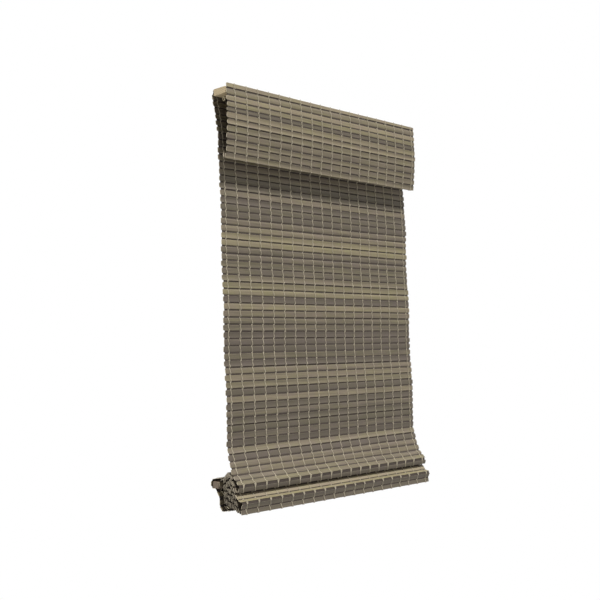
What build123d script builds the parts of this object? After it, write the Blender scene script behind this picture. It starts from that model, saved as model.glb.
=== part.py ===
"""Woven-wood roman shade on a wooden head board, drawn part raised.

X runs along the head board, -Y is the room side, +Z is up, and the origin is the middle of the
board's top face. Sections are drawn in the YZ plane as (y, z) pairs, in millimetres.
"""
from build123d import *
import os
from math import cos, hypot, radians, sin

os.makedirs("parts", exist_ok=True)

# Head board
board_width = 597.0
board_depth = 38.0
board_height = 14.0
board_edge = 1.0
mount_inset = 98.5
mount_hole_radius = 2.5

# Woven mat: flat slats tied side by side by warp yarns
mat_inset = 4.5
slat_pitch = 14.77
slat_thickness = 1.2
slat_gap = 0.8
slat_bevel = 0.9
web_thickness = 0.4
mitre_limit = 0.5
warp_count = 19
warp_inset = 14.0
warp_width = 2.2
warp_thickness = 0.6

# Valance: its slats differ in width, and its foot is turned back as a hem
valance_rise = 5.0
valance_slats = (7.6, 14.9, 13.2, 12.2, 10.0, 14.1, 13.1, 14.9, 14.7, 12.3, 14.3, 14.1)
valance_warp_inset = 18.1
valance_warp_shift = 5.5
hem_turn = 4.5
hem_lean = 2.0
hem_height = 16.0

# Hanging mat: three folds of equal drop, each with a crease half way down
fold_count = 3
fold_slats = 6
fold_leans = (3.0, 2.7, 3.3)
ring_slat_lean = 2.6
crease_bow = 3.3
hinge_offset = 1.5
first_fold = (8.8, -164.4)

# Rings, screw eyes and their columns
column_inset = 18.5
ring_radius = 4.2
ring_wire = 1.2
ring_sides = 14
ring_stand = 1.2
ring_foot = 3.0
eye_radius = 3.6
eye_wire = 0.9
eye_shank = 9.0
eye_sides = 12
eye_place = 8.0

# Bottom bar
bar_depth = 19.0
bar_height = 14.0
bar_edge = 1.5
bar_front = 6.0

# Cord lock under the right end of the board
lock_inset = 48.5
lock_length = 36.0
lock_width = 16.0
lock_height = 23.0
lock_sheet = 1.2
lock_corner = 6.0
pawl_reach = 13.0
pawl_drop = 7.0
pawl_root = 4.0
pawl_tip = 2.5
pawl_pin_radius = 1.5
pawl_side = 6.0
pin_play = 0.05
side_play = 0.4
pin_head = 0.8
pin_head_sides = 16
cord_gap = 1.5
pawl_swing = 30.0
guide_radius = 2.5
lock_screw_radius = 1.4
lock_screw_head = 2.8
lock_screw_head_height = 1.0
lock_screw_length = 9.0
lock_screw_spacing = 22.0
lock_screw_sides = 12

# Staples
staple_crown = 10.0
staple_leg = 8.0
staple_wire = 0.4
staple_count = 8
staple_inset = 30.0

mat_width = board_width - 2 * mat_inset
board_back = board_depth / 2
board_front = -board_depth / 2
mount_spacing = board_width - 2 * mount_inset
lock_place = board_width / 2 - lock_inset
column_places = (-board_width / 2 + column_inset, 0.0, board_width / 2 - column_inset)


def moved(point, direction, distance):
    return (point[0] + direction[0] * distance, point[1] + direction[1] * distance)


def heading(start, end):
    length = hypot(end[0] - start[0], end[1] - start[1])
    return ((end[0] - start[0]) / length, (end[1] - start[1]) / length), length


def face_normal(direction, side):
    """The mat's room face is on side 1, its window face on side -1."""
    return (direction[1] * side, -direction[0] * side)


def fall(start, length, lean):
    """The lower end of a straight run that leans into the room by lean degrees."""
    return (start[0] - length * sin(radians(lean)), start[1] - length * cos(radians(lean)))


def mitre(point, before, after, side, distance):
    """The corner of an offset line, kept short at sharp turns."""
    first, second = face_normal(before, side), face_normal(after, side)
    both = max(mitre_limit, 1 + first[0] * second[0] + first[1] * second[1])
    return moved(point, (first[0] + second[0], first[1] + second[1]), distance / both)


def web_turn(run, following, side):
    """The web's corners where the yarns carry the mat round a fold, from one run to the next."""
    before, turn = heading(run[-2], run[-1])[0], heading(run[-1], following[0])[0]
    after = heading(following[0], following[1])[0]
    return [
        mitre(run[-1], before, turn, side, web_thickness / 2),
        mitre(following[0], turn, after, side, web_thickness / 2),
    ]


def slat_rows(runs, side):
    """One face of a mat: each slat has a flat crown, a bevel at both edges and a thin web between."""
    points = []
    for number, run in enumerate(runs):
        if number > 0:
            points += web_turn(runs[number - 1], run, side)
        for start, end in zip(run, run[1:]):
            direction, length = heading(start, end)
            normal = face_normal(direction, side)
            count = max(1, round(length / slat_pitch))
            pitch = length / count
            for index in range(count):
                near = pitch * index + slat_gap / 2
                far = pitch * (index + 1) - slat_gap / 2
                for along, thickness in (
                    (near, web_thickness),
                    (near + slat_bevel, slat_thickness),
                    (far - slat_bevel, slat_thickness),
                    (far, web_thickness),
                ):
                    points.append(moved(moved(start, direction, along), normal, thickness / 2))
    return points


def woven_mat(runs, width):
    """The solid between both faces of a mat, drawn out to its width."""
    with BuildPart() as mat:
        with BuildSketch(Plane.YZ.offset(-width / 2)):
            with BuildLine():
                Polyline(*slat_rows(runs, 1), *reversed(slat_rows(runs, -1)), close=True)
            make_face()
        extrude(amount=width)
    return mat


def offset_line(run, side, distance):
    """A run moved off by a distance, with mitred corners."""
    headings = [heading(start, end)[0] for start, end in zip(run, run[1:])]
    befores, afters = [headings[0], *headings], [*headings, headings[-1]]
    return [mitre(*corner, side, distance) for corner in zip(run, befores, afters)]


def trimmed(run, cut):
    """A run shortened at both ends."""
    first, last = heading(run[0], run[1])[0], heading(run[-2], run[-1])[0]
    return [moved(run[0], first, cut), *run[1:-1], moved(run[-1], last, -cut)]


def warp_yarns(runs, width, inset=warp_inset, shift=0.0):
    """Yarns that lie on the crowns of the slats, evenly spaced across the mat."""
    spacing = (width - 2 * inset) / (warp_count - 1)
    with BuildPart() as yarns:
        for column in range(warp_count):
            place = -width / 2 + inset + shift + spacing * column - warp_width / 2
            with BuildSketch(Plane.YZ.offset(place)):
                for run in runs:
                    line = trimmed(run, slat_gap / 2)
                    seat = offset_line(line, 1, slat_thickness / 2)
                    top = offset_line(line, 1, slat_thickness / 2 + warp_thickness)
                    with BuildLine():
                        Polyline(*seat, *reversed(top), close=True)
                    make_face()
            extrude(amount=warp_width)
    return yarns


def ring_row(start, end):
    """Sew-on rings on the window face, at the middle of one slat, one in each column."""
    direction, length = heading(start, end)
    middle = moved(start, direction, length / 2)
    with BuildPart() as rings:
        for place in column_places:
            level = Plane(
                origin=(place, middle[0], middle[1]),
                x_dir=(1, 0, 0),
                z_dir=(0, -direction[0], -direction[1]),
            )
            centre = slat_thickness / 2 + ring_stand + ring_radius
            with BuildSketch(level):
                with Locations((0, slat_thickness / 2 + (ring_stand + ring_wire) / 2)):
                    Rectangle(ring_foot, ring_stand + ring_wire)
                with Locations((0, centre)):
                    RegularPolygon(ring_radius, ring_sides)
                    RegularPolygon(ring_radius - ring_wire, ring_sides, mode=Mode.SUBTRACT)
            extrude(amount=ring_wire / 2, both=True)
    return rings


def staple_row(height, face, inward):
    """Wire staples along the board: the crown lies on the mat, and the legs go into the board."""
    spacing = (board_width - 2 * staple_inset) / (staple_count - 1)
    with BuildPart() as staples:
        for index in range(staple_count):
            place = -board_width / 2 + staple_inset + spacing * index
            with BuildSketch(Plane.XY.offset(height - staple_wire / 2)):
                with Locations((place, face - inward * staple_wire / 2)):
                    Rectangle(staple_crown, staple_wire)
                for leg in (-1, 1):
                    across = place + leg * (staple_crown - staple_wire) / 2
                    with Locations((across, face + inward * staple_leg / 2)):
                        Rectangle(staple_wire, staple_leg)
            extrude(amount=staple_wire)
    return staples


def keep(name, piece):
    piece.part.label = name
    export_step(piece.part, f"parts/{name}.step")


# Head board, with two holes for the screws that hold the shade up
with BuildPart() as head_board:
    with BuildSketch(Plane.YZ.offset(-board_width / 2)):
        with Locations((0, -board_height / 2)):
            Rectangle(board_depth, board_height)
    extrude(amount=board_width)
    chamfer(head_board.edges().filter_by(Axis.X), board_edge)
    with GridLocations(mount_spacing, 0, 2, 1):
        Hole(mount_hole_radius)
keep("head_board", head_board)

# Valance, hung on the board's front face
valance_y = board_front - slat_thickness / 2
valance_run = [(valance_y, valance_rise)]
for slat in valance_slats:
    valance_run.append((valance_y, valance_run[-1][1] - slat))
valance_foot = valance_run[-1]
hem_start = (valance_foot[0] + hem_turn, valance_foot[1] + slat_gap)
hem_run = [hem_start, (hem_start[0] + hem_lean, hem_start[1] + hem_height)]
keep("valance", woven_mat([valance_run, hem_run], board_width))
valance_line = [valance_run[0], valance_foot]
keep("warp_valance", warp_yarns([valance_line], board_width, valance_warp_inset, valance_warp_shift))

# Top of the hanging mat: a flap on the board's back face, turned over and led down to the first fold
flap_y = board_back + slat_thickness / 2
flap_run = [(flap_y, -board_height + 1.5), (flap_y, -0.8)]
turn_run = [(flap_y + 2.6, 1.8), (31.5, -1.8)]
ring_slat_top = fall(first_fold, -slat_pitch, ring_slat_lean)
head_run = [(33.5, -6.0), (31.5, -20.0), (22.0, -49.0), (13.5, -89.0), ring_slat_top, first_fold]
keep("mat_head", woven_mat([flap_run, turn_run, head_run], mat_width))
keep("warp_head", warp_yarns([head_run], mat_width))
keep("lift_rings_1", ring_row(ring_slat_top, first_fold))

# Three folds: an upper and a lower panel that meet at a crease, then the slat that carries rings
fold_top = first_fold
half_fold = fold_slats * slat_pitch
hinges = {}
for number in range(1, fold_count + 1):
    lean = fold_leans[number - 1]
    fold_foot = fall(fold_top, 2 * half_fold * cos(crease_bow / half_fold), lean)
    middle = ((fold_top[0] + fold_foot[0]) / 2, (fold_top[1] + fold_foot[1]) / 2)
    forward = face_normal(heading(fold_top, fold_foot)[0], 1)
    crease = moved(middle, forward, crease_bow)
    hinges[f"fold_{number}"] = (fold_top[0] - hinge_offset, fold_top[1])
    hinges[f"crease_{number}"] = (crease[0] + hinge_offset, crease[1])
    hinges[f"row_{number}"] = (fold_foot[0] - hinge_offset, fold_foot[1])
    keep(f"mat_upper_{number}", woven_mat([[fold_top, crease]], mat_width))
    keep(f"warp_upper_{number}", warp_yarns([[fold_top, crease]], mat_width))
    keep(f"mat_lower_{number}", woven_mat([[crease, fold_foot]], mat_width))
    keep(f"warp_lower_{number}", warp_yarns([[crease, fold_foot]], mat_width))
    ring_slat_foot = fall(fold_foot, slat_pitch, ring_slat_lean)
    keep(f"lift_rings_{number + 1}", ring_row(fold_foot, ring_slat_foot))
    if number < fold_count:
        keep(f"ring_slat_{number}", woven_mat([[fold_foot, ring_slat_foot]], mat_width))
        keep(f"warp_ring_{number}", warp_yarns([[fold_foot, ring_slat_foot]], mat_width))
    fold_top = ring_slat_foot

# Gathered stack: the rest of the mat lies in folds, drawn from the last ring slat to the bar's pocket
stack_top = fold_foot
front_run = [stack_top, ring_slat_foot, (-28.8, -767.0), (-39.5, -794.0), (-58.5, -812.5)]
lip_run = [(-59.5, -815.5), (-56.0, -827.5)]
inner_runs = [[(-52.5, -827.0), (-33.5, -790.5)]]
shelf_run = [(-30.8, -791.2), (-48.5, -829.0), (-57.0, -840.0), (-71.0, -842.5)]
nose_run = [(-72.0, -845.5), (-67.0, -857.5), (-69.0, -869.5)]
layer_count = 6
layer_feet = ((-63.0, -868.0), (-30.0, -858.0))
layer_heads = ((-27.5, -787.5), (-18.5, -796.0))
layer_runs = []
for layer in range(layer_count):
    share = layer / (layer_count - 1)
    foot, head = (
        tuple(first + (last - first) * share for first, last in zip(*ends))
        for ends in (layer_feet, layer_heads)
    )
    layer_runs.append([foot, head] if layer % 2 == 0 else [head, foot])
back_lobe = [(-33.0, -864.0), (-8.0, -870.0), (2.0, -860.0), (2.5, -846.0)]
small_fold = [(3.5, -841.5), (12.0, -830.5)]
pocket_floor = -826.2
pocket_run = [(14.5, pocket_floor), (28.5, pocket_floor)]
pocket_back = [(30.3, -824.0), (30.3, -811.0)]
pocket_top = [(28.2, -808.2), (-13.5, -799.8)]
stack_runs = [
    front_run, lip_run, *inner_runs, shelf_run, nose_run, *layer_runs,
    back_lobe, small_fold, pocket_run, pocket_back, pocket_top,
]
keep("mat_stack", woven_mat(stack_runs, mat_width))
keep("warp_stack", warp_yarns([front_run, lip_run, nose_run], mat_width))

# Bottom bar, lying on the floor of its pocket
bar_floor = pocket_floor + slat_thickness / 2
with BuildPart() as bottom_bar:
    with BuildSketch(Plane.YZ.offset(-mat_width / 2)):
        with Locations((bar_front + bar_depth / 2, bar_floor + bar_height / 2)):
            RectangleRounded(bar_depth, bar_height, bar_edge)
    extrude(amount=mat_width)
keep("bottom_bar", bottom_bar)

# Staples through the first groove of the valance and through the flap behind the board
keep("staples_valance", staple_row(valance_rise - valance_slats[0], valance_y - web_thickness / 2, 1))
keep("staples_mat", staple_row(-board_height / 2, flap_y + slat_thickness / 2, -1))

# Screw eyes in the board's underside, one above each column of rings
board_foot = -board_height
with BuildPart() as screw_eyes:
    for place in column_places:
        eye_centre = board_foot - eye_radius - eye_wire
        with BuildSketch(Plane.YZ.offset(place)):
            with Locations((eye_place, eye_centre)):
                RegularPolygon(eye_radius + eye_wire, eye_sides)
                RegularPolygon(eye_radius - eye_wire, eye_sides, mode=Mode.SUBTRACT)
        extrude(amount=eye_wire, both=True)
        with BuildSketch(Plane.XY.offset(eye_centre + eye_radius)):
            with Locations((place, eye_place)):
                RegularPolygon(eye_wire, eye_sides)
        extrude(amount=eye_shank + eye_wire)
keep("screw_eyes", screw_eyes)

# Cord lock: a sheet channel, a swinging pawl on its pin, and a fixed guide pin
pawl_x = lock_place - pawl_side
pawl_z = board_foot - pawl_drop
tip_x = pawl_x + pawl_reach * sin(radians(pawl_swing))
tip_z = pawl_z - pawl_reach * cos(radians(pawl_swing))
guide_x = tip_x + pawl_tip + guide_radius + cord_gap
guide_z = tip_z
with BuildPart() as cord_lock_frame:
    with BuildSketch(Plane.XZ):
        with Locations((lock_place, board_foot - lock_height / 2)):
            Rectangle(lock_length, lock_height)
        fillet(vertices().group_by(Axis.Y)[0], lock_corner)
    extrude(amount=lock_width / 2, both=True)
    with Locations((lock_place, 0, board_foot - lock_sheet)):
        Box(
            lock_length,
            lock_width - 2 * lock_sheet,
            lock_height,
            align=(Align.CENTER, Align.CENTER, Align.MAX),
            mode=Mode.SUBTRACT,
        )
    for x, z, radius in ((pawl_x, pawl_z, pawl_pin_radius), (guide_x, guide_z, guide_radius)):
        with Locations((x, 0, z)):
            Cylinder(radius, lock_width, rotation=(90, 0, 0), mode=Mode.SUBTRACT)
    with Locations((lock_place, 0, board_foot)):
        with GridLocations(lock_screw_spacing, 0, 2, 1):
            Cylinder(
                lock_screw_radius,
                lock_sheet,
                align=(Align.CENTER, Align.CENTER, Align.MAX),
                mode=Mode.SUBTRACT,
            )
keep("cord_lock_frame", cord_lock_frame)


def lock_pin(x, z, radius):
    """A pin across the channel, headed outside both cheeks."""
    with BuildPart() as pin:
        with Locations((x, 0, z)):
            Cylinder(radius, lock_width, rotation=(90, 0, 0))
        for side in (-1, 1):
            with BuildSketch(Plane.XZ.offset(side * (lock_width / 2 + pin_head))):
                with Locations((x, z)):
                    RegularPolygon(radius + pin_head, pin_head_sides)
            extrude(amount=-side * pin_head)
    return pin


keep("cord_lock_pawl_pin", lock_pin(pawl_x, pawl_z, pawl_pin_radius))
keep("cord_lock_guide_pin", lock_pin(guide_x, guide_z, guide_radius))

pawl_width = lock_width - 2 * lock_sheet - 2 * side_play
with BuildPart() as cord_lock_pawl:
    with BuildSketch(Plane.XZ):
        with Locations((pawl_x, pawl_z)):
            Circle(pawl_root)
        with Locations((pawl_x, pawl_z - pawl_reach)):
            Circle(pawl_tip)
        make_hull()
        with Locations((pawl_x, pawl_z)):
            Circle(pawl_pin_radius + pin_play, mode=Mode.SUBTRACT)
    extrude(amount=pawl_width / 2, both=True)
keep("cord_lock_pawl", cord_lock_pawl)

with BuildPart() as cord_lock_screws:
    for radius, length in ((lock_screw_head, -lock_screw_head_height), (lock_screw_radius, lock_screw_length)):
        with BuildSketch(Plane.XY.offset(board_foot - lock_sheet)):
            with Locations((lock_place, 0)):
                with GridLocations(lock_screw_spacing, 0, 2, 1):
                    RegularPolygon(radius, lock_screw_sides)
        extrude(amount=length)
keep("cord_lock_screws", cord_lock_screws)

hinges["pawl"] = (pawl_x, pawl_z)
for name, (first, second) in hinges.items():
    print(f"axis {name} {first:.3f} {second:.3f}")
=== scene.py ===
from math import cos, hypot, pi, radians, sin
import bpy
import numpy as np
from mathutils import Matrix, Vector


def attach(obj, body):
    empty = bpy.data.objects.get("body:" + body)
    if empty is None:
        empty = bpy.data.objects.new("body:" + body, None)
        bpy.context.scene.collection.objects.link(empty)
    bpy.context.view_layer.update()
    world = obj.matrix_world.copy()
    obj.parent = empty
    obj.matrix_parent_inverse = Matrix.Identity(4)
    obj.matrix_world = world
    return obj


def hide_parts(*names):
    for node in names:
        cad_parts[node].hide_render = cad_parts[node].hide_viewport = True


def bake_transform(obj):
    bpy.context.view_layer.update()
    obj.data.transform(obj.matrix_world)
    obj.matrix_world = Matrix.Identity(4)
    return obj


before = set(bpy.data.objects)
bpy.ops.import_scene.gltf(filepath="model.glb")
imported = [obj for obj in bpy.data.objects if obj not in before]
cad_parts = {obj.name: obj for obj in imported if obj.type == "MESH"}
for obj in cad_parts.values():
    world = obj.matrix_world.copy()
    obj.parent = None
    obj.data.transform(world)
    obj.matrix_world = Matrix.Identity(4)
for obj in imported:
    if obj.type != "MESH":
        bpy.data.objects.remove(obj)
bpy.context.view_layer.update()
mm = 0.001

# The mat's driving sizes, in millimetres as in the part
mat = {
    "width": 588.0,
    "seed": 41,
    "pitch": 14.77,
    "gap": 3.2,  # dark line between two slats
    "halfThick": 0.5,
    "dome": (-1.7, 1.0),  # how far a slat's middle stands off its edges; a cupped slat's is negative
    "shoulder": (2.0, 3.6),  # power of its curve across
    "stations": 25,  # along a slat
    "section": 16,  # round a slat
    "squareness": (0.4, 0.7),  # powers that draw its oval section towards a rectangle, across and through
    "corner": ((0.0, 0.7), (0.8, 0.9), (2.6, 1.0)),  # distance from a slat's end, and share of its width left
    "foldCount": 3,
    "foldSlats": 6,
    "foldLeans": (3.0, 2.7, 3.3),
    "ringLean": 2.6,
    "creaseBow": 3.3,
    "firstFold": (8.8, -164.4),
    "layers": 10,  # folds packed inside the stack
    "memory": ((-445.0, 3.5), (-635.0, 3.5), (-733.0, 8.0)),  # old creases: height, turn of the slats there
}
# How one slat differs from the next
variation = {
    "twist": 0.3,  # share of its tilt
    "bow": 0.35,
    "sway": 0.3,
    "wave": (6, 22),  # of bow and sway along it
    "ends": 2.4,  # shorter by up to this at each end
    "worn": (0.02, 61),  # uneven width: share, and its wave along the slat
    "tone": (0.5, 0.22),
    "drift": (0.14, 0.6, 1),  # slow wave of tone down the mat: height, step and start
    "palest": 0.85,
}
# Dark strip that closes the gap between two slats: painted shade of the gap
gapShadeStrip = {
    "stations": 9,
    "tuck": 0.8,  # how far it reaches behind each slat
    "face": -0.1,
    "back": -0.35,
    "inset": 1.8,
    "roundedInset": 1.6,  # added where the slats' ends are rounded
}
valance = {
    "width": 597.0,
    "seed": 7,
    "tilt": 3.2,
    "front": -19.6,
    "rise": 5.0,
    "height": 155.0,
    "footTone": 0.45,
    "slats": (7.6, 14.9, 13.2, 12.2, 10.0, 14.1, 13.1, 14.9, 14.7, 12.3, 14.3, 14.1),
    "bulge": 6.0,  # how far its middle stands out
    "sag": 5.0,  # how much lower its foot hangs at the right end
    "crown": (4.6, 1.2),  # extra height of the top slat at its left and right ends
    "hem": ((4.5, 0.8), (6.5, 16.8)),  # from the foot, inwards and up
    "yarnStart": -274.9,
    "yarnSpacing": 31.15,
}
yarn = {
    "columns": 19,
    "inset": 14.0,
    "halfWidth": 0.85,
    "halfThick": 0.42,
    "sides": 6,
    "lean": 1.2,  # sideways swing as the pair of strands twists
    "climb": 2.3,  # how soon a strand lies flat on a slat's face
    "stray": (0.35, 12.9898, 7823.3),  # uneven sideways place: reach, and sine steps per slat and column
    "samples": (0.04, 0.16, 0.33, 0.5, 0.67, 0.84, 0.96),
    "fewSamples": (0.2, 0.8),  # inside the stack
}


class Value:
    # wraps a node socket, so that shader maths reads as Python

    def __init__(self, tree, socket):
        self.tree, self.socket = tree, socket

    def math(self, operation, *others):
        inputs = {0: self, **dict(enumerate(others, 1))}
        return self.tree.node("ShaderNodeMath", {"operation": operation}, inputs)

    def __add__(self, other):
        return self.math("ADD", other)

    def __sub__(self, other):
        return self.math("SUBTRACT", other)

    def __mul__(self, other):
        return self.math("MULTIPLY", other)


class Finish:
    # a material under construction: node() takes a type, its settings and its inputs

    def __init__(self, name):
        self.material = bpy.data.materials.new(name)
        self.material.use_nodes = True
        self.nodes, self.links = self.material.node_tree.nodes, self.material.node_tree.links
        self.shader = self.nodes["Principled BSDF"]

    def node(self, kind, settings=None, inputs=None, output=0):
        made = self.nodes.new(kind)
        for key, value in (settings or {}).items():
            if key == "stops":
                ramp = made.color_ramp
                while len(ramp.elements) < len(value):
                    ramp.elements.new(0.5)
                for element, (place, colour) in zip(ramp.elements, value):
                    element.position, element.color = place, (*colour, 1)
            else:
                setattr(made, key, value)
        for key, value in (inputs or {}).items():
            self.join(value, made.inputs[key])
        return Value(self, made.outputs[output])

    def join(self, value, socket):
        if isinstance(value, Value):
            self.links.new(value.socket, socket)
        else:
            socket.default_value = value

    def surface(self, **sockets):
        for name, value in sockets.items():
            self.join(value, self.shader.inputs[name.replace("_", " ")])
        return self.material

    def attribute(self, name):
        return self.node("ShaderNodeAttribute", {"attribute_name": name}, output="Fac")

    def mix(self, factor, first, second, blend="MIX"):
        made = self.nodes.new("ShaderNodeMix")
        made.data_type, made.blend_type = "RGBA", blend
        self.join(factor, made.inputs[0])
        for value, socket in ((first, made.inputs[6]), (second, made.inputs[7])):
            self.join(value if isinstance(value, Value) else (*value, 1), socket)
        return Value(self, made.outputs[2])

    def scaled(self, vector, scale, place=(0, 0, 0)):
        return self.node("ShaderNodeMapping", {}, {"Vector": vector, "Scale": scale, "Location": place})

    def noise(self, vector, scale, detail=3.0, roughness=0.55):
        inputs = {"Vector": vector, "Scale": scale, "Detail": detail, "Roughness": roughness}
        return self.node("ShaderNodeTexNoise", {}, inputs)

    def stretch(self, value, low, high, first=0.0, last=1.0):
        return self.node("ShaderNodeMapRange", {}, {0: value, 1: low, 2: high, 3: first, 4: last})

    def bump(self, height, strength, distance):
        return self.node("ShaderNodeBump", {}, {"Height": height, "Strength": strength, "Distance": distance})

    def objectPlace(self):
        return self.node("ShaderNodeTexCoord", output="Object")

    def ownMap(self):
        return self.node("ShaderNodeTexCoord", output="UV")


# A mesh from whole arrays: points, blocks of polygons with their material number and smoothness, maps per point,
# or one map per corner
def makeMesh(name, points, polygons, materials, maps=None, loopMap=None):
    data = bpy.data.meshes.new(name)
    faces, numbers, smooth = [], [], []
    for block, number, rounded in polygons:
        faces += block.tolist()
        numbers += [number] * len(block)
        smooth += [rounded] * len(block)
    data.from_pydata(points.reshape(-1, 3).tolist(), [], faces)
    for material in materials:
        data.materials.append(material)
    data.polygons.foreach_set("material_index", np.array(numbers, np.int32))
    data.polygons.foreach_set("use_smooth", np.array(smooth, bool))
    corner = np.zeros(len(data.loops), np.int32)
    data.loops.foreach_get("vertex_index", corner)
    maps = dict(maps or {})
    if loopMap is not None or "uv" in maps:
        flat = loopMap if loopMap is not None else maps.pop("uv").reshape(-1, 2)[corner]
        data.uv_layers.new(name="UVMap").data.foreach_set("uv", flat.astype(np.float32).ravel())
    for key, values in maps.items():
        data.attributes.new(key, "FLOAT", "POINT").data.foreach_set("value", values.astype(np.float32).ravel())
    obj = bpy.data.objects.new(name, data)
    bpy.context.scene.collection.objects.link(obj)
    return obj


# Quads of many grids of rows by columns of points, closed round the columns, and round the rows too for a ring
def tubeQuads(copies, rows, columns, ring=False):
    row, column = np.meshgrid(np.arange(rows if ring else rows - 1), np.arange(columns), indexing="ij")
    following, lower = (column + 1) % columns, (row + 1) % rows
    quads = np.stack([
        row * columns + column, row * columns + following,
        lower * columns + following, lower * columns + column,
    ], -1).reshape(-1, 4)
    return (quads[None] + np.arange(copies)[:, None, None] * rows * columns).reshape(-1, 4)


# The two end polygons of many tubes
def tubeCaps(copies, rows, columns):
    ring = np.arange(columns)
    caps = np.stack([ring[::-1], ring + (rows - 1) * columns])
    return (caps[None] + np.arange(copies)[:, None, None] * rows * columns).reshape(-1, columns)


def heading(start, end):
    length = hypot(end[0] - start[0], end[1] - start[1])
    return ((end[0] - start[0]) / length, (end[1] - start[1]) / length), length


def fall(start, length, lean):
    return (start[0] - length * sin(radians(lean)), start[1] - length * cos(radians(lean)))


# Cuts each straight of a run into whole slats: centre, direction and length of each, as in the part
def slatsAlong(runs, pitch):
    rows = []
    for run in runs:
        for start, end in zip(run, run[1:]):
            direction, length = heading(start, end)
            count = max(1, round(length / pitch))
            for index in range(count):
                along = length * (index + 0.5) / count
                centre = (start[0] + direction[0] * along, start[1] + direction[1] * along)
                rows.append((*centre, *direction, length / count))
    return np.array(rows)


# The mat's path from the board's back to the bar's pocket, a node at a time: (node, its yarns, body, runs)
def hangingPath():
    pitch, fold = mat["pitch"], mat["firstFold"]
    ringTop = fall(fold, -pitch, mat["ringLean"])
    head = [(33.5, -6.0), (31.5, -20.0), (22.0, -49.0), (13.5, -89.0), ringTop, fold]
    path = [("mat_head", "warp_head", "head", [[(19.6, -12.5), (19.6, -0.8)], [(22.2, 1.8), (31.5, -1.8)], head])]
    half = mat["foldSlats"] * pitch
    for number, lean in enumerate(mat["foldLeans"], 1):
        foot = fall(fold, 2 * half * cos(mat["creaseBow"] / half), lean)
        direction = heading(fold, foot)[0]
        crease = (
            (fold[0] + foot[0]) / 2 + direction[1] * mat["creaseBow"],
            (fold[1] + foot[1]) / 2 - direction[0] * mat["creaseBow"],
        )
        path.append((f"mat_upper_{number}", f"warp_upper_{number}", f"upper_{number}", [[fold, crease]]))
        path.append((f"mat_lower_{number}", f"warp_lower_{number}", f"lower_{number}", [[crease, foot]]))
        fold = fall(foot, pitch, mat["ringLean"])
        if number < mat["foldCount"]:
            path.append((f"ring_slat_{number}", f"warp_ring_{number}", f"row_{number}", [[foot, fold]]))
    front = [foot, fold, (-28.8, -767.0), (-39.5, -794.0), (-58.5, -812.5)]
    folded = [
        front, [(-59.5, -815.5), (-56.0, -827.5)], [(-52.5, -827.0), (-33.5, -790.5)],
        [(-30.8, -791.2), (-48.5, -829.0), (-57.0, -840.0), (-71.0, -842.5)],
        [(-72.0, -845.5), (-67.0, -857.5), (-69.0, -869.5)],
    ]
    for layer in range(mat["layers"]):
        share = layer / (mat["layers"] - 1)
        low = (-63.0 + 47.0 * share, -868.0 + 14.0 * share)
        high = (-27.5 + 17.0 * share, -786.5 - 14.0 * share ** 2)
        folded.append([low, high] if layer % 2 == 0 else [high, low])
    folded += [
        [(-19.0, -857.5), (-31.0, -860.5)],
        [(-33.0, -864.0), (-8.0, -870.0), (2.0, -860.0), (2.5, -846.0)], [(3.5, -841.5), (12.0, -830.5)],
        [(14.5, -826.2), (28.5, -826.2)], [(30.3, -824.0), (30.3, -811.0)], [(28.2, -808.2), (-12.0, -800.2)],
        [(-11.0, -803.5), (0.5, -807.5)], [(2.8, -809.5), (3.2, -822.0)],
    ]
    path.append(("mat_stack", "warp_stack", "stack", folded))
    return path


# Every slat of one continuous mat, with its own seeded tilt, dome, twist, bow, ragged ends and tone
class Weave:
    def __init__(self, slats, width, seed, tilt, dome):
        random = np.random.default_rng(seed)
        count = len(slats)
        self.count, self.width = count, width * mm
        self.centre, self.along = slats[:, :2] * mm, slats[:, 2:4]
        self.length = slats[:, 4] * mm
        self.out = np.stack([self.along[:, 1], -self.along[:, 0]], -1)
        self.half = self.length / 2 - mat["gap"] * mm / 2
        self.tilt = np.radians(random.normal(0, 1, count)) * tilt
        self.twist = np.radians(random.normal(0, variation["twist"], count)) * tilt
        self.dome = random.uniform(*mat["dome"], count) * mm * dome
        self.shoulder = random.uniform(*mat["shoulder"], count)
        self.bow = random.uniform(-variation["bow"], variation["bow"], count) * mm * dome
        self.sway = random.uniform(-variation["sway"], variation["sway"], count) * mm
        self.wave = random.uniform(*variation["wave"], count)
        self.phase = random.uniform(0, 2 * pi, count)
        self.ends = random.uniform(0, variation["ends"], (count, 2)) * mm
        self.rounded = np.ones(count)
        self.thick = np.full(count, mat["halfThick"]) * mm
        height, step, begin = variation["drift"]
        drift = height * np.sin(np.arange(count) * step + begin)
        self.tone = np.clip(random.normal(*variation["tone"], count) + drift, 0, variation["palest"])
        self.hue = random.uniform(0, 1, count)
        self.grain = random.uniform(0, 5, count)
        self.sink = np.zeros(count)
        self.crown = np.zeros((count, 2))

    # A point x along slat i, across its width and off its face. The slat is domed or cupped across its width by a
    # power curve, turns by its tilt and twist, bows and sways along its length, grows upwards by its crown and sinks
    # towards the right
    def place(self, i, x, across, off):
        right = x / self.width + 0.5
        turn = self.tilt[i] + self.twist[i] * x / (self.width / 2)
        bent = np.sin(self.wave[i] * x + self.phase[i])
        reach = np.abs(across / self.half[i])
        off = off + self.dome[i] * (np.clip(1 - reach ** self.shoulder[i], -0.4, 1) - 0.6)
        grown = self.crown[i, 0] * (1 - right) + self.crown[i, 1] * right
        across = across - grown * np.clip(-across / self.half[i], 0, 1)
        over = across * np.cos(turn) - off * np.sin(turn) + self.sway[i] * bent
        bowed = self.bow[i] * np.cos(self.wave[i] * 0.7 * x + self.phase[i])
        proud = across * np.sin(turn) + off * np.cos(turn) + bowed
        y = self.centre[i, 0] + self.along[i, 0] * over + self.out[i, 0] * proud
        z = self.centre[i, 1] + self.along[i, 1] * over + self.out[i, 1] * proud - self.sink[i] * right
        return np.stack(np.broadcast_arrays(x, y, z), -1)


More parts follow.
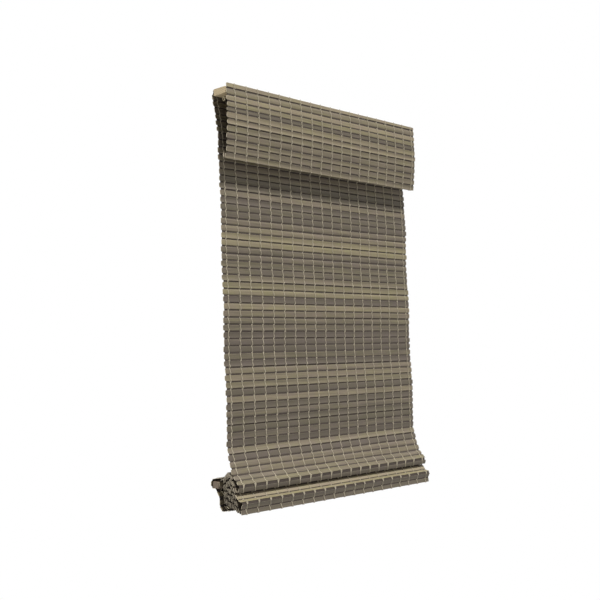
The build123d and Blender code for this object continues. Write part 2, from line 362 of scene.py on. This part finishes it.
# Slats: a flattened oval section carried along X, with rounded corners and uneven ends
def slatParts(weave, first, last):
    rows, columns = mat["stations"], mat["section"]
    i = np.arange(first, last)[:, None, None]
    angle = (np.arange(columns) / columns * 2 * pi)[None, None, :]
    across = np.sign(np.cos(angle)) * np.abs(np.cos(angle)) ** mat["squareness"][0]
    off = np.sign(np.sin(angle)) * np.abs(np.sin(angle)) ** mat["squareness"][1]
    ending, left = np.array(mat["corner"]).T
    reached = 1 - 2 * ending * mm / weave.width
    middle = np.linspace(-reached[-1], reached[-1], rows - 2 * (len(reached) - 1))
    share = np.concatenate([-reached[:-1], middle, reached[-2::-1]])[None, :, None]
    narrowed = 1 - (1 - np.interp(np.abs(share), reached[::-1], left[::-1])) * weave.rounded[i]
    x = share * weave.width / 2 + np.where(share < 0, weave.ends[i, 0], -weave.ends[i, 1]) * np.abs(share) ** 8
    depth, wave = variation["worn"]
    worn = narrowed + depth * np.sin(x * wave + weave.phase[i] * 3)
    points = weave.place(i, x, across * weave.half[i] * worn, off * weave.thick[i])
    copies = last - first
    whole = points.shape[:3]
    maps = {
        "uv": np.stack(np.broadcast_arrays(x, across * weave.half[i] + weave.grain[i]), -1),
        "tone": np.broadcast_to(weave.tone[i], whole),
        "hue": np.broadcast_to(weave.hue[i], whole),
        "edge": np.broadcast_to(np.abs(across), whole),
    }
    return points, maps, tubeQuads(copies, rows, columns), tubeCaps(copies, rows, columns)


# Dark strips of painted shade that close the gap from each slat to the next: a flat four-sided bar, bent round the
# folds
def gapShadeParts(weave, first, last):
    rows = gapShadeStrip["stations"]
    i = np.arange(first, last)[:, None]
    inset = gapShadeStrip["inset"] + gapShadeStrip["roundedInset"] * weave.rounded[i]
    x = np.linspace(-1, 1, rows)[None, :] * (weave.width / 2 - inset * mm)
    tuck, face, back = (gapShadeStrip[key] * mm for key in ("tuck", "face", "back"))
    corners = [
        weave.place(i, x, weave.half[i] - tuck, face), weave.place(i + 1, x, tuck - weave.half[i + 1], face),
        weave.place(i + 1, x, tuck - weave.half[i + 1], back), weave.place(i, x, weave.half[i] - tuck, back),
    ]
    points = np.stack(corners, 2)
    return points, tubeQuads(last - first, rows, 4), tubeCaps(last - first, rows, 4)


# Strands of one stretch: steps is a list of (slat, share of its pitch). A pair's strands swap faces at every gap
def strandParts(weave, steps, columnsAt):
    slat = np.array([s for s, _ in steps])[None, None, :, None]
    share = np.array([t for _, t in steps])[None, None, :, None]
    strand = np.arange(2)[None, :, None, None]
    column = np.asarray(columnsAt)[:, None, None, None] * mm
    front = np.where((slat + strand) % 2 == 0, 1.0, -1.0)
    rise = np.clip(np.sin(pi * share) * yarn["climb"], 0, 1)
    clear = (mat["halfThick"] + yarn["halfThick"]) * mm
    swing = -np.cos(pi * share) * front * yarn["lean"] * mm
    reach, slatStep, columnStep = yarn["stray"]
    stray = np.sin(slat * slatStep + column * columnStep) * reach * mm
    angle = (np.arange(yarn["sides"]) / yarn["sides"] * 2 * pi)[None, None, None, :]
    x = column + swing + stray + np.cos(angle) * yarn["halfWidth"] * mm
    across = (share - 0.5) * weave.length[slat]
    off = front * rise * clear + np.sin(angle) * yarn["halfThick"] * mm
    points = weave.place(slat, x, across + 0 * angle, off)
    copies, rows, sides = len(columnsAt) * 2, len(steps), yarn["sides"]
    along = np.array([weave.length[s] * t + weave.length[:s].sum() for s, t in steps])
    row, side = np.meshgrid(np.arange(rows - 1), np.arange(sides), indexing="ij")
    quadMap = np.stack([
        np.stack([along[row], side / sides], -1), np.stack([along[row], (side + 1) / sides], -1),
        np.stack([along[row + 1], (side + 1) / sides], -1), np.stack([along[row + 1], side / sides], -1),
    ], -2).reshape(-1, 2)
    capMap = np.zeros((2 * sides, 2))
    loopMap = np.concatenate([np.tile(quadMap, (copies, 1)), np.tile(capMap, (copies, 1))])
    return points, tubeQuads(copies, rows, sides), tubeCaps(copies, rows, sides), loopMap


# A map with zeros added for the points of the ties
def padded(values, ownCount, extraCount):
    own = values.reshape(ownCount, -1)
    return np.concatenate([own, np.zeros((extraCount, own.shape[1]))])


# The slats of a stretch in one mesh, with the painted shade strips of its own gaps
def slatObject(name, weave, first, last, shadeGaps):
    points, maps, quads, caps = slatParts(weave, first, last)
    points = points.reshape(-1, 3)
    own = len(points)
    pieces = [(quads, 0, True), (caps, 1, False)]
    if shadeGaps[1] > shadeGaps[0]:
        bars, barQuads, barCaps = gapShadeParts(weave, *shadeGaps)
        bars = bars.reshape(-1, 3)
        points = np.concatenate([points, bars])
        pieces += [(barQuads + own, 2, False), (barCaps + own, 2, False)]
        maps = {key: padded(value, own, len(bars)) for key, value in maps.items()}
    return makeMesh(name, points, pieces, (slatWood, cutEnd, gapShade), maps)


def yarnObject(name, weave, steps, columnsAt):
    points, quads, caps, loopMap = strandParts(weave, steps, columnsAt)
    return makeMesh(name, points, [(quads, 0, True), (caps, 0, False)], (yarnTwist,), loopMap=loopMap)


# Sample places of a stretch of slats; the outermost ones are left to the bands at its hinges
def stretchSteps(first, last, openStart, openEnd, hidden=()):
    steps = []
    for slat in range(first, last):
        steps += [(slat, share) for share in yarn["fewSamples" if slat in hidden else "samples"]]
    return steps[1 if openStart else 0: len(steps) - (1 if openEnd else 0)]


# Slat wood: stained grain drawn out along the slat, each slat with its own tone (on the hanging mat also painted
# shade and highlights), paler on worn edges
def makeSlatWood():
    f = Finish("slatWood")
    place = f.ownMap()
    tone, hue, edge = f.attribute("tone"), f.attribute("hue"), f.attribute("edge")
    fine = f.noise(f.scaled(place, (60, 2600, 1)), 1.0, 4.0, 0.6)
    broad = f.noise(f.scaled(place, (9, 260, 1)), 1.0, 3.0)
    fleck = f.noise(f.scaled(place, (240, 1500, 1)), 1.0, 2.0)
    patch = f.noise(f.scaled(place, (24, 70, 1)), 1.0, 2.0)
    warm = hue * 0.45 + f.stretch(patch, 0.35, 0.65, 0.0, 0.6)
    pale = f.mix(warm, (0.256, 0.224, 0.113), (0.242, 0.194, 0.130))
    deep = f.mix(warm, (0.080, 0.067, 0.039), (0.089, 0.069, 0.054))
    depth = tone * 1.05 - 0.13 + f.stretch(broad, 0.3, 0.7, -0.16, 0.2) + f.stretch(fine, 0.3, 0.7, -0.14, 0.16)
    colour = f.mix(f.stretch(depth, 0.0, 0.9), deep, pale)
    colour = f.mix(f.stretch(fleck, 0.62, 0.75, 0, 0.35), colour, (0.105, 0.082, 0.060))
    colour = f.mix(f.stretch(edge, 0.93, 1.0, 0, 0.28), colour, (0.40, 0.34, 0.22))
    height = fine * 0.6 + broad * 0.4
    rough = f.stretch(fine, 0.2, 0.8, 0.5, 0.72)
    return f.surface(Base_Color=colour, Roughness=rough, Normal=f.bump(height, 0.35, 0.0004))


# Cut end of a slat: pale raw wood with short pores
def makeCutEnd():
    f = Finish("cutEnd")
    pores = f.noise(f.scaled(f.objectPlace(), (300, 2400, 2400)), 1.0, 3.0)
    colour = f.mix(f.stretch(pores, 0.35, 0.65), (0.50, 0.42, 0.30), (0.80, 0.71, 0.54))
    return f.surface(Base_Color=colour, Roughness=0.8, Normal=f.bump(pores, 0.4, 0.0003))


# Painted shade: near-black colour of the strips that fill the gaps between slats
def makeGapShade():
    f = Finish("gapShade")
    fibre = f.noise(f.scaled(f.objectPlace(), (500, 3000, 3000)), 1.0, 3.0)
    colour = f.mix(f.stretch(fibre, 0.3, 0.7), (0.022, 0.016, 0.012), (0.055, 0.040, 0.030))
    return f.surface(Base_Color=colour, Roughness=0.9, Normal=f.bump(fibre, 0.5, 0.0003))


# Yarn: two plies laid round each other, so stripes run slantwise round the strand
def makeYarnTwist():
    f = Finish("yarnTwist")
    place = f.ownMap()
    parts = f.node("ShaderNodeSeparateXYZ", {}, {0: place})
    along, round_ = parts, Value(f, parts.socket.node.outputs[1])
    ply = (along * 2200.0 + round_ * (2 * pi * 2)).math("SINE")
    fuzz = f.noise(f.scaled(f.objectPlace(), (2500, 2500, 2500)), 1.0, 3.0)
    shade = f.stretch(ply, -1.0, 1.0, 0.0, 0.7) + fuzz * 0.4
    colour = f.mix(f.stretch(shade, 0.0, 1.0), (0.260, 0.220, 0.155), (0.460, 0.405, 0.295))
    return f.surface(Base_Color=colour, Roughness=0.85, Sheen_Weight=0.15, Normal=f.bump(shade, 0.5, 0.0004))


# Planed softwood: growth rings are circles round a far heart, so they show as arcs on the ends and as long lines on
# the faces
def makeBoardWood(name, pale, deep, heart, spacing):
    f = Finish(name)
    place = f.objectPlace()
    wander = f.noise(f.scaled(place, (3, 30, 30)), 1.0, 2.0)
    shift = f.node("ShaderNodeVectorMath", {"operation": "SCALE"}, {0: wander, "Scale": 0.006})
    warped = f.node("ShaderNodeVectorMath", {"operation": "ADD"}, {0: f.scaled(place, (0.25, 1, 1), heart), 1: shift})
    parts = f.node("ShaderNodeSeparateXYZ", {}, {0: warped}).socket.node.outputs
    y, z = Value(f, parts[1]), Value(f, parts[2])
    radius = (y * y + z * z).math("SQRT")
    rings = (radius * (2 * pi / spacing)).math("SINE")
    pores = f.noise(f.scaled(place, (40, 1800, 1800)), 1.0, 3.0)
    colour = f.mix(f.stretch(rings, -0.6, 1.0) * 0.75 + f.stretch(pores, 0.35, 0.7, 0, 0.3), pale, deep)
    rough = f.stretch(pores, 0.3, 0.7, 0.55, 0.75)
    return f.surface(Base_Color=colour, Roughness=rough, Normal=f.bump(pores, 0.3, 0.0003))


def makeMetal(name, colour, roughness, brushed):
    f = Finish(name)
    streaks = f.noise(f.scaled(f.objectPlace(), brushed), 1.0, 3.0)
    streaked = f.mix(f.stretch(streaks, 0.3, 0.7), tuple(c * 0.82 for c in colour), colour)
    rough = f.stretch(streaks, 0.2, 0.8, roughness - 0.08, roughness + 0.1)
    return f.surface(Base_Color=streaked, Roughness=rough, Metallic=1.0, Normal=f.bump(streaks, 0.12, 0.0002))


def makeMouldedPlastic():
    f = Finish("ringPlastic")
    speckle = f.noise(f.scaled(f.objectPlace(), (900, 900, 900)), 1.0, 2.0)
    colour = f.mix(f.stretch(speckle, 0.3, 0.7), (0.62, 0.59, 0.50), (0.70, 0.67, 0.58))
    return f.surface(Base_Color=colour, Roughness=0.42, Coat_Weight=0.1, Normal=f.bump(speckle, 0.08, 0.0002))


def makeRingThread():
    f = Finish("ringThread")
    fuzz = f.noise(f.scaled(f.objectPlace(), (3000, 3000, 3000)), 1.0, 3.0)
    colour = f.mix(f.stretch(fuzz, 0.3, 0.7), (0.30, 0.26, 0.19), (0.44, 0.39, 0.29))
    return f.surface(Base_Color=colour, Roughness=0.85, Normal=f.bump(fuzz, 0.4, 0.0002))


slatWood, cutEnd, gapShade = makeSlatWood(), makeCutEnd(), makeGapShade()
yarnTwist, ringThread = makeYarnTwist(), makeRingThread()
boardWood = makeBoardWood("boardWood", (0.54, 0.44, 0.265), (0.29, 0.215, 0.12), (0, 0.012, 0.045), 0.0034)
barWood = makeBoardWood("barWood", (0.165, 0.122, 0.082), (0.10, 0.074, 0.052), (0, -0.03, 0.86), 0.0022)
zincSteel = makeMetal("zincSteel", (0.55, 0.55, 0.54), 0.38, (60, 1400, 1400))
brassPlate = makeMetal("brassPlate", (0.66, 0.57, 0.38), 0.30, (900, 900, 900))
ringPlastic = makeMouldedPlastic()
print("finishes made")

# How the mat lies: where it hangs, in the stack, and inside the stack's folds
lying = {
    "tilt": (3.0, 1.2, 5.0),  # degrees
    "dome": (1.0, 0.45, 0.25),  # share of a slat's own
    "thin": (0.7, 0.8),  # thickness left in the stack, and of that inside it
    "ends": 0.6,  # share of the uneven ends left in the stack
    "frontRuns": 4,  # runs of the stack's front, after the slope
}
tones = {
    "creaseShadeAndHighlight": (0.3, 0.88),  # painted shade on the slat above an old crease, painted highlight on the slat below
    "inside": 0.2,  # painted shade: share of tone left inside the stack
    "paintedShadeSlats": 5,  # painted shade behind and under the valance: slats below the top length
    "paintedShadePalest": 0.5,
    "darkening": 0.5,  # from the top to the slope above the stack
    "slopeStart": 4,
    "slope": (0.25, 0.05, 0.38),  # darkening, darkest and palest
    "lipShade": 0.25,  # painted shade: share of tone left on the stack's two front faces, which face down
    # painted highlight: tone of the upward slat on top of the stack's lower front face
    "noseHighlight": 0.85,
}
# Hanging mat: slats and yarns node by node, and a band of painted gap shade and yarn across each hinge
path = hangingPath()
counts = [len(slatsAlong(runs, mat["pitch"])) for _, _, _, runs in path]
starts = np.concatenate([[0], np.cumsum(counts)]).astype(int)
allSlats = np.concatenate([slatsAlong(runs, mat["pitch"]) for _, _, _, runs in path])
stackFirst = starts[-2]
stackRuns = [len(slatsAlong([run], mat["pitch"])) for run in path[-1][3]]
frontRuns = 1 + lying["frontRuns"]
lips = stackFirst + stackRuns[0]
innerFirst = stackFirst + sum(stackRuns[:frontRuns])
innerLast = innerFirst + sum(stackRuns[frontRuns:frontRuns + mat["layers"]])
inside = slice(innerFirst, innerLast)
tilts, domes = np.full(len(allSlats), lying["tilt"][0]), np.full(len(allSlats), lying["dome"][0])
tilts[lips:], domes[lips:] = lying["tilt"][1], lying["dome"][1]
tilts[inside], domes[inside] = lying["tilt"][2], lying["dome"][2]
hanging = Weave(allSlats, mat["width"], mat["seed"], tilts, domes)
# Old creases turn the two slats beside them; their tones are painted shade above and a painted highlight below
for height, turn in mat["memory"]:
    above = int(np.sum(hanging.centre[:lips, 1] > height * mm)) - 1
    hanging.tilt[above:above + 2] = radians(-turn), radians(turn)
    hanging.tone[above:above + 2] = tones["creaseShadeAndHighlight"]
hanging.thick[lips:] *= lying["thin"][0]
hanging.thick[inside] *= lying["thin"][1]
hanging.ends[lips:] *= lying["ends"]
hanging.rounded[lips:] = 0.0
# Painted shade on the slats inside the stack
hanging.tone[inside] *= tones["inside"]
# Painted shade behind and under the valance: these slats are kept no paler than a cap
paintedShadeRange = slice(0, starts[1] + tones["paintedShadeSlats"])
hanging.tone[paintedShadeRange] = np.minimum(hanging.tone[paintedShadeRange], tones["paintedShadePalest"])
slopeFirst = stackFirst + tones["slopeStart"]
hanging.tone[:slopeFirst] -= tones["darkening"] * np.linspace(0, 1, slopeFirst)
slope = slice(slopeFirst, lips)
darker, darkest, palest = tones["slope"]
hanging.tone[slope] = np.clip(hanging.tone[slope] - darker, darkest, palest)
nose = lips + sum(stackRuns[1:frontRuns - 1])
# Painted shade on the stack's two front faces, which face down
hanging.tone[lips:lips + stackRuns[1]] *= tones["lipShade"]
hanging.tone[nose:innerFirst] *= tones["lipShade"]
# Painted highlight on the upward slat on top of the lower front face
hanging.tone[nose - 1] = tones["noseHighlight"]
spacing = (mat["width"] - 2 * yarn["inset"]) / (yarn["columns"] - 1)
matColumns = [yarn["inset"] - mat["width"] / 2 + spacing * number for number in range(yarn["columns"])]
for number, (node, warp, body, runs) in enumerate(path):
    first, last = starts[number], starts[number + 1]
    slats = slatObject("slats_" + node, hanging, first, last, (first, last - 1))
    steps = stretchSteps(first, last, number > 0, number < len(path) - 1, range(innerFirst, innerLast))
    strands = yarnObject("yarns_" + node, hanging, steps, matColumns)
    for obj, replaced, slotName in ((slats, node, "slats"), (strands, warp, "warp")):
        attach(obj, body)
        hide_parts(replaced)
    if number > 0:
        upper = first - 1
        # painted shade strip for the gap at the hinge
        bars, barQuads, barCaps = gapShadeParts(hanging, upper, first)
        shadeStripMesh = makeMesh(f"shadeStrip_{body}", bars, [(barQuads, 0, False), (barCaps, 0, False)], (gapShade,))
        samples = yarn["samples"]
        bandSteps = [(upper, samples[-2]), (upper, samples[-1]), (first, samples[0]), (first, samples[1])]
        band = yarnObject(f"band_{body}", hanging, bandSteps, matColumns)
        start = hanging.place(np.array(upper), 0.0, hanging.half[upper], 0.0)
        end = hanging.place(np.array(first), 0.0, -hanging.half[first], 0.0)
        for obj, slotName in ((shadeStripMesh, "slats"), (band, "warp")):
            path[number - 1][2]
            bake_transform(obj)
print("hanging mat woven:", len(allSlats), "slats")

# Valance: its own slat widths, with the foot turned back as a hem
foot = (valance["front"], valance["rise"] - sum(valance["slats"]))
heights = valance["rise"] - np.concatenate([[0], np.cumsum(valance["slats"])])
depths = valance["front"] - valance["bulge"] * np.sin(pi * (valance["rise"] - heights) / (valance["rise"] - foot[1]))
corners = list(zip(depths, heights))
longPitch = 1000.0  # longer than any slat is wide, so that each pair of corners makes one slat
valanceSlats = np.concatenate([slatsAlong([pair], longPitch) for pair in zip(corners, corners[1:])])
hemRun = [(foot[0] + across, foot[1] + up) for across, up in valance["hem"]]
valanceSlats = np.concatenate([valanceSlats, slatsAlong([hemRun], mat["pitch"])])
front = Weave(valanceSlats, valance["width"], valance["seed"], valance["tilt"], 1.0)
below = valance["rise"] * mm - front.centre[:, 1]
front.sink = valance["sag"] * mm * np.clip(below / (valance["height"] * mm), 0, 1)
front.crown[0] = np.array(valance["crown"]) * mm
footSlat = len(corners) - 2
front.tilt[footSlat], front.tone[footSlat] = 0, valance["footTone"]
frontSlats = slatObject("slats_valance", front, 0, front.count, (0, front.count - 1))
frontColumns = [valance["yarnStart"] + valance["yarnSpacing"] * number for number in range(yarn["columns"])]
frontYarns = yarnObject("yarns_valance", front, stretchSteps(0, front.count, False, False), frontColumns)
for obj, replaced, slotName in ((frontSlats, "valance", "slats"), (frontYarns, "warp_valance", "warp")):
    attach(obj, "head")
    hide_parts(replaced)
print("valance woven")

# Rings: a circle swept round an ellipse whose half axes lie along two unit vectors, for many centres at once
def ringPoints(centres, first, second, halfFirst, halfSecond, wire, rows, columns):
    centres, first, second = (np.asarray(v, float).reshape(-1, 1, 1, 3) for v in (centres, first, second))
    normal = np.cross(first, second)
    turn = (np.arange(rows) / rows * 2 * pi)[None, :, None, None]
    round_ = (np.arange(columns) / columns * 2 * pi)[None, None, :, None]
    reach = wire * np.cos(round_)
    flat = first * (halfFirst + reach) * np.cos(turn) + second * (halfSecond + reach) * np.sin(turn)
    return centres + flat + normal * wire * np.sin(round_)


rings = {
    "columns": (-280.0, 0.0, 280.0),
    "radius": 3.6,
    "wire": 0.6,
    "stand": 6.0,  # from the mat's middle to a ring's centre
    "steps": (24, 8),
    "stitches": 4,
    "stitchGap": 0.5,
    "stitchSeat": 1.6,
    "stitchReach": (1.75, 1.2),  # half axes of a stitch, outwards and along the mat
    "stitchSteps": (14, 6),
    "thread": 0.28,
}
ringNodes = (
    ("lift_rings_1", "head", starts[1] - 1), ("lift_rings_2", "row_1", starts[3]),
    ("lift_rings_3", "row_2", starts[6]), ("lift_rings_4", "stack", starts[9]),
)
for node, body, slat in ringNodes:
    across = np.array([0.0, hanging.along[slat, 0], hanging.along[slat, 1]])
    back = -np.array([0.0, hanging.out[slat, 0], hanging.out[slat, 1]])
    columnsX = np.array(rings["columns"])[:, None] * mm * np.array([[1.0, 0.0, 0.0]])
    seat = columnsX + np.array([0.0, *hanging.centre[slat]])
    radius, wire, thread = (rings[key] * mm for key in ("radius", "wire", "thread"))
    raised = seat + back * rings["stand"] * mm
    hoops = ringPoints(raised, (1.0, 0.0, 0.0), back, radius, radius, wire, *rings["steps"])
    shifts = (np.arange(rings["stitches"]) - (rings["stitches"] - 1) / 2) * rings["stitchGap"] * mm
    loopSeats = seat[:, None] + back * rings["stitchSeat"] * mm + shifts[None, :, None] * np.array([1.0, 0.0, 0.0])
    outwards, alongMat = (reach * mm for reach in rings["stitchReach"])
    loops = ringPoints(loopSeats.reshape(-1, 3), back, across, outwards, alongMat, thread, *rings["stitchSteps"])
    hoopQuads = tubeQuads(len(hoops), *rings["steps"], ring=True)
    loopQuads = tubeQuads(len(loops), *rings["stitchSteps"], ring=True) + hoops.reshape(-1, 3).shape[0]
    points = np.concatenate([hoops.reshape(-1, 3), loops.reshape(-1, 3)])
    sewn = makeMesh("sewn_" + node, points, [(hoopQuads, 0, True), (loopQuads, 1, True)], (ringPlastic, ringThread))
    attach(sewn, body)
    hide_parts(node)

# Screw eyes: a wire ring and a turned collar against the board's underside
eyes = {
    "columns": rings["columns"],
    "y": 8.0,
    "board": -14.0,
    "radius": 3.6,
    "wire": 0.9,
    "steps": (32, 12),
    "collar": ((-0.2, 2.0), (-0.5, 2.1), (-1.0, 1.7), (-1.5, 1.15), (-2.2, 0.9)),  # height and radius
    "collarSides": 20,
}
centres = [(x * mm, eyes["y"] * mm, (eyes["board"] - eyes["radius"] - eyes["wire"]) * mm) for x in eyes["columns"]]
radius, wire = eyes["radius"] * mm, eyes["wire"] * mm
hoops = ringPoints(centres, (0, 1, 0), (0, 0, 1), radius, radius, wire, *eyes["steps"])
drop, radius = np.array(eyes["collar"]).T * mm
angle = (np.arange(eyes["collarSides"]) / eyes["collarSides"] * 2 * pi)[None, None, :]
x = np.array(eyes["columns"])[:, None, None] * mm + radius[None, :, None] * np.cos(angle)
y = eyes["y"] * mm - radius[None, :, None] * np.sin(angle)
z = eyes["board"] * mm + drop[None, :, None]
collars = np.stack(np.broadcast_arrays(x, y, z), -1).reshape(-1, 3)
hoops = hoops.reshape(-1, 3)
collarGrid = (len(centres), len(drop), eyes["collarSides"])
wireEyes = makeMesh("wire_eyes", np.concatenate([hoops, collars]), [
    (tubeQuads(len(centres), *eyes["steps"], ring=True), 0, True),
    (tubeQuads(*collarGrid) + len(hoops), 0, True), (tubeCaps(*collarGrid) + len(hoops), 0, False),
], (brassPlate,))
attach(wireEyes, "head")
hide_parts("screw_eyes")
print("rings and eyes made")

# Bottom bar: rounded rectangle carried along X, a little shorter than its pocket
bar = {
    "width": 586.0,
    "depth": 19.0,
    "height": 14.0,
    "edge": 2.2,
    "middle": (15.5, -818.7),
    "cornerSteps": 5,
    "bevel": 0.8,
}
turn = np.linspace(0, pi / 2, bar["cornerSteps"])
turns = np.concatenate([turn + quarter * pi / 2 for quarter in range(4)])
signs = np.repeat([(1, 1), (-1, 1), (-1, -1), (1, -1)], bar["cornerSteps"], 0)
cornerCentres = signs * (np.array([bar["depth"], bar["height"]]) / 2 - bar["edge"])
outline = cornerCentres + bar["edge"] * np.stack([np.cos(turns), np.sin(turns)], -1)
half, bevel = bar["width"] / 2, bar["bevel"]
stations = [(-half, bevel), (-half + bevel, 0.0), (half - bevel, 0.0), (half, bevel)]
sections = []
for x, trim in stations:
    trimmed = bar["middle"] + outline * (1 - 2 * trim / bar["height"])
    sections.append(np.stack([np.full(len(outline), x), *trimmed.T], -1))
barGrid = (1, len(stations), len(outline))
barPieces = [(tubeQuads(*barGrid), 0, True), (tubeCaps(*barGrid), 0, False)]
woodBar = makeMesh("wood_bar", np.array(sections) * mm, barPieces, (barWood,))
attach(woodBar, "stack")
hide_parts("bottom_bar")

# Board and metalwork keep their solids and get their finishes
for node, material in (
    ("head_board", boardWood), ("staples_valance", zincSteel), ("staples_mat", zincSteel),
    ("cord_lock_frame", zincSteel), ("cord_lock_pawl", zincSteel), ("cord_lock_pawl_pin", zincSteel),
    ("cord_lock_guide_pin", brassPlate), ("cord_lock_screws", zincSteel),
):
    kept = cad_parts[node].data.materials
    kept.clear()
    kept.append(material)
print("frame painted")

# Stage: a pale floor far below, plain white round the camera, light from high in front and a weak one from the left
stage = {
    "floor": -1.6,
    "floorReach": 6.0,
    "floorTone": 0.6,
    "ambient": 0.24,
    "key": 4.5,
    "keyFrom": (-0.12, -1.0, 1.85),
    "keyAngle": 9.0,
    "fill": 1.3,
    "fillFrom": (-1.0, 0.15, 0.3),
    "fillAngle": 20.0,
}
scene = bpy.context.scene


def whiteForCamera(tree, shader):
    # the camera, mirrors and glass see plain white; all other light sees the shader
    rays = tree.nodes.new("ShaderNodeLightPath")
    first, second = (tree.nodes.new("ShaderNodeMath") for _ in range(2))
    for node in (first, second):
        node.operation = "MAXIMUM"
    tree.links.new(rays.outputs["Is Camera Ray"], first.inputs[0])
    tree.links.new(rays.outputs["Is Glossy Ray"], first.inputs[1])
    tree.links.new(first.outputs[0], second.inputs[0])
    tree.links.new(rays.outputs["Is Transmission Ray"], second.inputs[1])
    mixed = tree.nodes.new("ShaderNodeMixShader")
    tree.links.new(second.outputs[0], mixed.inputs[0])
    tree.links.new(shader, mixed.inputs[1])
    return mixed


world = bpy.data.worlds.new("paleRoom")
world.use_nodes = True
scene.world = world
tree = world.node_tree
ambient = tree.nodes["Background"]
ambient.inputs["Color"].default_value = (1, 1, 1, 1)
ambient.inputs["Strength"].default_value = stage["ambient"]
mixed = whiteForCamera(tree, ambient.outputs[0])
plain = tree.nodes.new("ShaderNodeBackground")
plain.inputs["Color"].default_value = (1, 1, 1, 1)
plain.inputs["Strength"].default_value = 1.0
tree.links.new(plain.outputs[0], mixed.inputs[2])
tree.links.new(mixed.outputs[0], tree.nodes["World Output"].inputs["Surface"])

reach = stage["floorReach"]
floorCorners = ((-reach, -reach), (reach, -reach), (reach, reach), (-reach, reach))
floorPoints = np.array([(*corner, stage["floor"]) for corner in floorCorners])
floorFinish = Finish("paleFloor")
floorFinish.surface(Base_Color=(*[stage["floorTone"]] * 3, 1), Roughness=0.9)
floor = makeMesh("floor", floorPoints, [(np.array([[0, 1, 2, 3]]), 0, False)], (floorFinish.material,))
mixed = whiteForCamera(floorFinish.material.node_tree, floorFinish.shader.outputs[0])
glow = floorFinish.nodes.new("ShaderNodeEmission")
glow.inputs["Color"].default_value = (1, 1, 1, 1)
floorFinish.links.new(glow.outputs[0], mixed.inputs[2])
floorFinish.links.new(mixed.outputs[0], floorFinish.nodes["Material Output"].inputs["Surface"])


def sunLamp(name, direction, strength, angle):
    lamp = bpy.data.lights.new(name, "SUN")
    lamp.energy, lamp.angle = strength, radians(angle)
    obj = bpy.data.objects.new(name, lamp)
    scene.collection.objects.link(obj)
    obj.rotation_euler = Vector(direction).to_track_quat("Z", "Y").to_euler()
    return obj


key = sunLamp("keyLight", stage["keyFrom"], stage["key"], stage["keyAngle"])
fill = sunLamp("fillLight", stage["fillFrom"], stage["fill"], stage["fillAngle"])

view = {"place": (-1.4345, -1.462, -0.500), "toward": (0.682, 0.731, 0.033), "lens": 54.0}
camera = bpy.data.objects.new("camera", bpy.data.cameras.new("camera"))
camera.data.lens, camera.data.sensor_width = view["lens"], 36.0
camera.location = view["place"]
camera.rotation_euler = Vector(view["toward"]).to_track_quat("-Z", "Y").to_euler()
scene.collection.objects.link(camera)
scene.camera = camera
scene.view_settings.view_transform = "Standard"
print("stage set")
